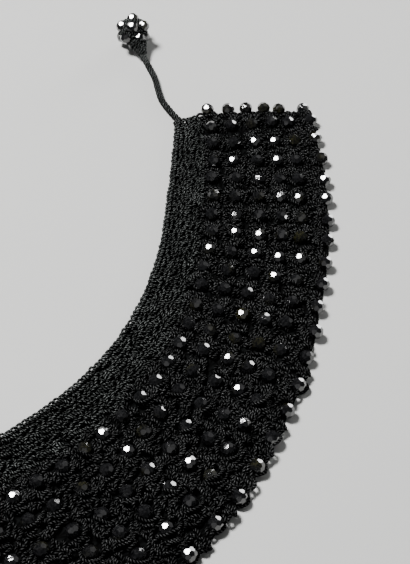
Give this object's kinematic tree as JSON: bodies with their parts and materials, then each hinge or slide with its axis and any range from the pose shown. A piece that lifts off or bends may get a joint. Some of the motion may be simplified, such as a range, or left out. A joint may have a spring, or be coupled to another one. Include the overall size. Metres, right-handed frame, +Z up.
{
  "type": "beaded crochet collar",
  "caption": "Detachable crocheted collar set with faceted jet-black glass beads, laid flat, with a ball button on a cord and a button loop at the open back.",
  "frame": {"origin": "middle of the base of the collar's bounding box, on the surface it lies on, without the button cord and its ball", "axes": "+Z up from the surface, +Y from the middle of the front towards the open back of the neck, +X towards the end with the ball button"},
  "size_m": [0.2802, 0.2436, 0.0107],
  "materials": {
    "thread": "black mercerised crochet thread, soft sheen",
    "jet_glass": "opaque black fire-polished faceted glass"
  },
  "bodies": {
    "root": {"neckband": "thread", "beaded_cloth": "thread", "button_cord": "thread", "ball_button": "jet_glass", "button_loop": "thread"}
  },
  "joints": []
}
